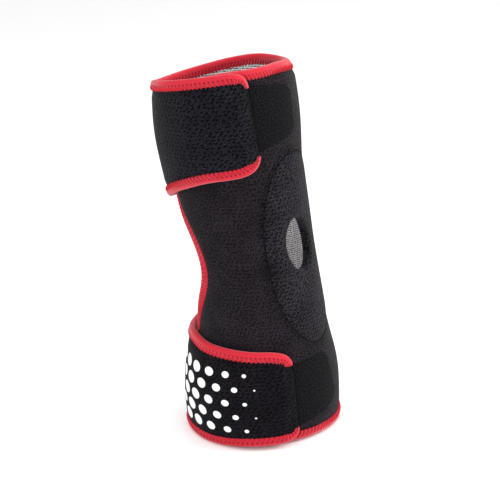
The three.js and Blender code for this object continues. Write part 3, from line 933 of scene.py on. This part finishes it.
def tape_place(line, inward, inset, lift):
    """Place points of the tape: inset is inward from the edge, lift outward from the lining."""
    flat = line + inward * np.broadcast_to(inset, len(line))[:, None]
    turn = flat[:, 0] / MM_PER_DEGREE
    base = rise(line[:, 0] / MM_PER_DEGREE) - end_sink(line)
    return wrap(turn, np.maximum(flat[:, 1], 0.05), base + lift)


def toothed(gone, row):
    """Inset and lift of a section's row: between the slanted stitches the tape puffs up."""
    inset, lift = SECTION[row]
    if row >= OUTER_ROWS:
        return np.full_like(gone, inset), np.full_like(gone, lift)
    across = SECTION_ACROSS[row]
    from_edge = min(across, SECTION_ACROSS[OUTER_ROWS - 1] - across)
    phase = gone / STITCH_PITCH - STITCH_SLANT * from_edge / STITCH_DEPTH
    puff = -np.cos(2 * math.pi * (phase - 0.5)) * (1 - ease(from_edge, STITCH_DEPTH - 1, STITCH_DEPTH + 0.5))
    outward = 1 if lift > CLOTH_THICK / 2 else -1
    return inset + NOTCH * puff * (1 - ease(from_edge, 0, 1.2)), lift + outward * TOOTH * puff


def make_binding(name, path, side, *widths):
    line, inward, gone = tape_frames(path, side, STITCH_PITCH / 8)
    width = taper(gone, *widths)
    rows = []
    for row in range(len(SECTION)):
        inset, lift = toothed(gone, row)
        rows.append(tape_place(line, inward, np.where(inset > 0, inset * width, inset), lift))
    size = len(SECTION)
    points = np.stack(rows, 1).reshape(-1, 3)
    uv = np.stack(np.broadcast_arrays(gone[:, None], SECTION_ACROSS[None, :]), -1).reshape(-1, 2)
    faces = ring(len(line), size)[:-size].tolist()
    faces += [list(range(size)), list(range(len(points) - size, len(points)))]
    return add_piece(name + "_twill", points, faces, uv, TWILL_BINDING)


bindings = {name: make_binding(name, *path) for name, path in tape_paths().items()}
print(f"binding: {SECTION_ACROSS[OUTER_ROWS - 1]:.2f} mm wide,",
      {name: len(piece.data.polygons) for name, piece in bindings.items()})

# %% [markdown]
# ## Binding and flap end thread
# The binding is sewn with slanted stitches, one to each tooth of its edge, and the flap ends
# with a zigzag. Their paths are worked out on the pattern, point by point, and laid on the
# cloth. A Geometry Nodes tree then runs a round thread along the paths, so the thickness of
# the thread is one number for all of them.

# %% Geometry Nodes helper
def node_tree(name, sizes):
    """An empty Geometry Nodes tree with named number inputs, and a function that adds nodes."""
    tree = bpy.data.node_groups.new(name, "GeometryNodeTree")
    tree.interface.new_socket("Geometry", in_out="INPUT", socket_type="NodeSocketGeometry")
    for size in sizes:
        tree.interface.new_socket(size, in_out="INPUT", socket_type="NodeSocketFloat")
    tree.interface.new_socket("Thread", in_out="INPUT", socket_type="NodeSocketMaterial")
    tree.interface.new_socket("Geometry", in_out="OUTPUT", socket_type="NodeSocketGeometry")

    def add(kind, settings, values):
        made = tree.nodes.new(kind)
        for key, value in settings.items():
            setattr(made, key, value)
        for key, value in values.items():
            if isinstance(value, bpy.types.NodeSocket):
                tree.links.new(value, made.inputs[key])
            else:
                made.inputs[key].default_value = value
        return made

    return tree, add, add("NodeGroupInput", {}, {}).outputs


def close_tree(add, geometry, material):
    """End a tree: plain geometry with its material."""
    real = add("GeometryNodeRealizeInstances", {}, {0: geometry})
    painted = add("GeometryNodeSetMaterial", {}, {"Geometry": real.outputs[0], "Material": material})
    smooth = add("GeometryNodeSetShadeSmooth", {}, {0: painted.outputs[0]})
    add("NodeGroupOutput", {}, {0: smooth.outputs[0]})


def run_tree(name, tree, lines, sizes, material):
    """Run a tree on open lines of points and keep the result as a plain mesh piece."""
    start = bpy.data.meshes.new(name + "_lines")
    counts = np.cumsum([0] + [len(line) for line in lines])
    edges = [(k, k + 1) for a, b in zip(counts, counts[1:]) for k in range(a, b - 1)]
    start.from_pydata((np.vstack(lines) * MM).tolist(), edges, [])
    piece = bpy.data.objects.new(name, start)
    bpy.context.collection.objects.link(piece)
    modifier = piece.modifiers.new("Sew", "NODES")
    modifier.node_group = tree
    values = {**sizes, "Thread": material}
    for socket in tree.interface.items_tree:
        if socket.in_out == "INPUT" and socket.name in values:
            modifier[socket.identifier] = values[socket.name]
    made = bpy.data.meshes.new_from_object(piece.evaluated_get(bpy.context.evaluated_depsgraph_get()))
    piece.modifiers.remove(modifier)
    piece.data = made
    made.name = name
    bpy.data.meshes.remove(start)
    print(name, len(made.polygons), "faces")
    return piece


# %% Thread tree
def thread_tree():
    """A round thread that follows a path."""
    tree, add, inputs = node_tree("round_thread", ["Radius"])
    path = add("GeometryNodeMeshToCurve", {}, {0: inputs["Geometry"]})
    section = add("GeometryNodeCurvePrimitiveCircle", {}, {"Resolution": 6, "Radius": inputs["Radius"]})
    values = {"Curve": path.outputs[0], "Profile Curve": section.outputs[0], "Fill Caps": True}
    tube = add("GeometryNodeCurveToMesh", {}, values)
    close_tree(add, tube.outputs[0], inputs["Thread"])
    return tree


ROUND_THREAD = thread_tree()
TAPE_THREAD = 0.34 * MM
STITCH_OUTSIDE = [(6.75, 3.95), (6.0, 4.6), (4.9, 5.0), (3.6, 5.15)]  # inset and lift
STITCH_INSIDE = [(7.6, -0.3), (6.7, -0.9), (5.6, -1.25), (4.4, -1.4)]


def slanted_stitches(path, side, *widths, shape):
    """One leaning stitch to each tooth of the tape, on one face of the cloth."""
    line, inward, gone = tape_frames(path, side, STITCH_PITCH / 24)
    width = taper(gone, *widths)
    first = np.arange(STITCH_PITCH, gone[-1] - 2 * STITCH_PITCH, STITCH_PITCH)
    depth = shape[0][0] - shape[-1][0]
    rows = []
    for inset, lift in shape:
        lean = STITCH_SLANT * STITCH_PITCH * (shape[0][0] - inset) / depth
        at = np.searchsorted(gone, first + lean)
        rows.append(tape_place(line[at], inward[at], inset * width[at], lift))
    return list(np.stack(rows, 1))


threads = [stitch for path in tape_paths().values() for shape in (STITCH_OUTSIDE, STITCH_INSIDE)
           for stitch in slanted_stitches(*path, shape=shape)]
binding_thread = run_tree("binding_stitches", ROUND_THREAD, threads, {"Radius": TAPE_THREAD}, RED_THREAD)

# %% Flap end zigzag
END_STITCH = 2.4
END_THREAD = 0.32 * MM


def end_zigzag(top, low):
    """A zigzag that joins a flap's free end to the hook tab under it."""
    ends = np.array([low[-1], top[-1]], float) * (MM_PER_DEGREE, 1)
    line, inward, gone = tape_frames(ends, -1, END_STITCH / 4)
    lift = (FLAP_RISE - END_SINK + CLOTH_THICK - END_THIN, SURFACE + TAB_THICK)
    inset = np.array([(2.6, 0.6, -0.9, 0.6)[k % 4] for k in range(len(line))])
    height = np.array([(lift[0] + 0.15, lift[0] + 0.1, lift[1] + 0.2, lift[0] + 0.1)[k % 4]
                       for k in range(len(line))])
    flat = line + inward * inset[:, None]
    return wrap(flat[:, 0] / MM_PER_DEGREE, flat[:, 1], height)


ends = [end_zigzag(UPPER_TOP, UPPER_LOW), end_zigzag(LOWER_TOP, LOWER_LOW)]
end_thread = run_tree("flap_end_zigzag", ROUND_THREAD, ends, {"Radius": END_THREAD}, BLACK_THREAD)

# %% [markdown]
# ## Rows of stitches
# The patch is sewn down along its channel, the flaps are joined to the panel, and the lining
# has a seam up its far side. These are plain lock stitches: short raised dashes with a gap
# between. A tree spaces points along the path and sets one small rounded dash on each, turned
# the way the path runs.

# %% Stitch tree
def stitch_tree():
    """Short rounded dashes along a path."""
    tree, add, inputs = node_tree("lock_stitch", ["Spacing", "Length", "Radius"])
    path = add("GeometryNodeMeshToCurve", {}, {0: inputs["Geometry"]})
    values = {"Curve": path.outputs[0], "Length": inputs["Spacing"]}
    spaced = add("GeometryNodeResampleCurve", {"mode": "LENGTH"}, values)
    way = add("GeometryNodeInputTangent", {}, {})
    turned = add("FunctionNodeAlignRotationToVector", {"axis": "Z"}, {"Vector": way.outputs[0]})
    half = add("ShaderNodeMath", {"operation": "DIVIDE"}, {0: inputs["Length"], 1: 2.0})
    size = add("ShaderNodeCombineXYZ", {}, {0: inputs["Radius"], 1: inputs["Radius"], 2: half.outputs[0]})
    dash = add("GeometryNodeMeshUVSphere", {}, {"Segments": 6, "Rings": 5, "Radius": 1.0})
    values = {"Points": spaced.outputs[0], "Instance": dash.outputs[0],
              "Rotation": turned.outputs[0], "Scale": size.outputs[0]}
    placed = add("GeometryNodeInstanceOnPoints", {}, values)
    close_tree(add, placed.outputs[0], inputs["Thread"])
    return tree


LOCK_STITCH = stitch_tree()


def patch_row(extra, lift):
    """A closed row of points in the patch's border."""
    flat = patch_flat(np.linspace(0, 2 * math.pi, 240), 1, extra)
    return wrap(flat[:, 0] / MM_PER_DEGREE, flat[:, 1], SURFACE + lift)


def lining_row(turn, slant, low, high):
    """A row up the lining that leans by a slant, in degrees for each millimetre of height."""
    heights = np.linspace(low, high, 160)
    return wrap(turn + slant * (heights - WAIST_HEIGHT), heights, -0.2)


STITCH_SIZES = {"Spacing": 3.0 * MM, "Length": 2.3 * MM, "Radius": 0.33 * MM}
rows = [patch_row(CHANNEL, 0.25)]
patch_stitches = run_tree("patch_stitches", LOCK_STITCH, rows, STITCH_SIZES, BLACK_THREAD)
JOIN_AWAY = 2.2  # degrees from the join of panel and flap to a row of stitches
JOIN_SPANS = [(9, WAIST_LOW - 9), (WAIST_HIGH + 9, rim_height(SEAM_TURN) - 9)]


def join_row(turn, low, high):
    heights = np.linspace(low, high, 90)
    return wrap(np.full_like(heights, turn), heights, CLOTH_THICK + rise(turn) + 0.1)


rows = [join_row(SEAM_TURN + away, *span) for away in (JOIN_AWAY, -JOIN_AWAY) for span in JOIN_SPANS]
join_stitches = run_tree("flap_join_stitches", LOCK_STITCH, rows, STITCH_SIZES, BLACK_THREAD)
SEAM_SIZES = {"Spacing": 2.6 * MM, "Length": 2.9 * MM, "Radius": 0.45 * MM}
LINING_SEAM = (-76.2, 0.105, 60, 230)  # turn, slant, and the heights of its two ends
rows = [lining_row(*LINING_SEAM)]
lining_stitches = run_tree("lining_seam_stitches", LOCK_STITCH, rows, SEAM_SIZES, GREY_THREAD)

# %% [markdown]
# ## Attaching the pieces
# Each piece is listed with the solid it stands for and a finish slot; it rides on the one
# body and its solid is hidden. The flat cut of each flap and of its tab is also worked out
# from the pattern here.

# %% Pieces, slots and cuts
STANDS_FOR = {
    "main_panel": (panel, "loop_cloth"),
    "panel_lining": (panel_lining, "lining"),
    "upper_flap": (upper_flap, "loop_cloth"),
    "upper_flap_lining": (upper_flap_lining, "lining"),
    "lower_flap": (lower_flap, "loop_cloth"),
    "lower_flap_lining": (lower_flap_lining, "lining"),
    "patella_pad": (patch, "loop_cloth"),
    "upper_hook_tab": (upper_tab, "hook_tape"),
    "lower_hook_tab": (lower_tab, "hook_tape"),
    **{name: (piece, "edge_tape") for name, piece in bindings.items()},
}
for node, (piece, slot) in STANDS_FOR.items():
    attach(piece, "root")
    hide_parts(node)
SEWING = {binding_thread: "edge_tape", end_thread: "hook_tape", patch_stitches: "loop_cloth",
          join_stitches: "loop_cloth", lining_stitches: "lining"}
for piece, slot in SEWING.items():
    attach(piece, "root")


near_line, rim_line, foot_line, _ = panel_lines()
side = np.linspace(rim_height(SEAM_TURN), EDGE_LOW, 200)
for cloth, knit, tab, top, low, tab_top, tab_low in (
        (upper_flap, upper_flap_lining, upper_tab, UPPER_TOP, UPPER_LOW, UPPER_TAB_TOP, UPPER_TAB_LOW),
        (lower_flap, lower_flap_lining, lower_tab, LOWER_TOP, LOWER_LOW, LOWER_TAB_TOP, LOWER_TAB_LOW)):
    flap_cut = [cut_edge(low, *FLAP_STEPS), cut_edge(top, *FLAP_STEPS)[::-1]]
    tab_cut = [cut_edge(tab_low, *TAB_STEPS), cut_edge(tab_top, *TAB_STEPS)[::-1]]

# %% [markdown]
# ## Camera, light and floor
# The camera stands in front of the near side, a little above the support, and leans slightly.
# A white floor under a white sky gives the bright, nearly shadowless look of a catalogue
# picture. A large lamp at the front right makes the soft shine on the front of the wrap, and
# weaker ones light the near side and the upper rim.

# %% Camera
AIM = Vector((AXIS_X, AXIS_Y + 20.0, 145.0)) * MM
AZIMUTH = math.radians(-50)
ELEVATION = math.radians(19)
LEAN = math.radians(6)
CAMERA_DISTANCE = 1150 * MM
MM_PER_PIXEL = 0.83
IMAGE_SIDE = 500
AIM_PIXEL = (232.5, 251.25)  # where the aim falls in the picture


def add_camera():
    flat = math.cos(ELEVATION)
    back = Vector((math.sin(AZIMUTH) * flat, -math.cos(AZIMUTH) * flat, math.sin(ELEVATION)))
    right = (-back).cross(Vector((0, 0, 1))).normalized()
    up = right.cross(-back)
    leaned_right = right * math.cos(LEAN) - up * math.sin(LEAN)
    leaned_up = up * math.cos(LEAN) + right * math.sin(LEAN)
    turned = Matrix((leaned_right, leaned_up, back)).transposed().to_4x4()
    data = bpy.data.cameras.new("camera")
    data.sensor_width = 36
    data.lens = CAMERA_DISTANCE / MM / MM_PER_PIXEL / IMAGE_SIDE * data.sensor_width
    data.shift_x = (IMAGE_SIDE / 2 - AIM_PIXEL[0]) / IMAGE_SIDE
    data.shift_y = (AIM_PIXEL[1] - IMAGE_SIDE / 2) / IMAGE_SIDE
    camera = bpy.data.objects.new("camera", data)
    bpy.context.collection.objects.link(camera)
    camera.matrix_world = Matrix.Translation(AIM + back * CAMERA_DISTANCE) @ turned
    bpy.context.scene.camera = camera
    return camera


camera = add_camera()
print(f"lens {camera.data.lens:.1f} mm")


# %% Light and floor
# Name, place and size in metres, and power in watts
LAMPS = [("front_lamp", (0.75, -1.25, 0.8), 0.9, 21),
         ("side_lamp", (-1.5, -0.4, 0.8), 1.0, 9),
         ("top_lamp", (-0.05, -0.05, 1.5), 0.5, 5)]
SKY_STRENGTH = 0.94
FLOOR_DARK = (0.96, 0.96, 0.96, 1)
FLOOR_PALE = (0.98, 0.98, 0.98, 1)


def add_lamp(name, place, size, power):
    """A square soft lamp that faces the middle of the support."""
    data = bpy.data.lights.new(name, "AREA")
    data.size = size
    data.energy = power
    lamp = bpy.data.objects.new(name, data)
    bpy.context.collection.objects.link(lamp)
    lamp.location = place
    lamp.rotation_euler = (AIM - Vector(place)).to_track_quat("-Z", "Y").to_euler()


def add_floor():
    bpy.ops.mesh.primitive_plane_add(size=30)
    floor = bpy.context.object
    floor.name = "floor"
    paint = Finish("pale_floor", Roughness=0.9, Specular_IOR_Level=0.1)
    place = paint.node("ShaderNodeTexCoord", {}, {}, "Object")
    grain = paint.node("ShaderNodeTexNoise", {}, {"Vector": place, "Scale": 300.0})
    colour = paint.blend(grain, FLOOR_DARK, FLOOR_PALE)
    floor.data.materials.append(paint.finish(colour, 0.9, grain, 0.0001))
    floor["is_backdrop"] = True


add_floor()
for lamp in LAMPS:
    add_lamp(*lamp)
world = bpy.data.worlds.new("studio")
world.use_nodes = True
world.node_tree.nodes["Background"].inputs["Color"].default_value = (1, 1, 1, 1)
world.node_tree.nodes["Background"].inputs["Strength"].default_value = SKY_STRENGTH
bpy.context.scene.world = world
bpy.context.scene.view_settings.view_transform = "Standard"

# %% [markdown]
# ## Sizes
# The dressed support has to stay the size of its solids. Both boxes are printed, so that
# they can be compared.

# %% Sizes and finish
visual_box = [list(corner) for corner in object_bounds()]
for label, (low, high) in (("solids", cad_box), ("dressed", visual_box)):
    print(label, [round((b - a) * 1000, 1) for a, b in zip(low, high)], "mm")
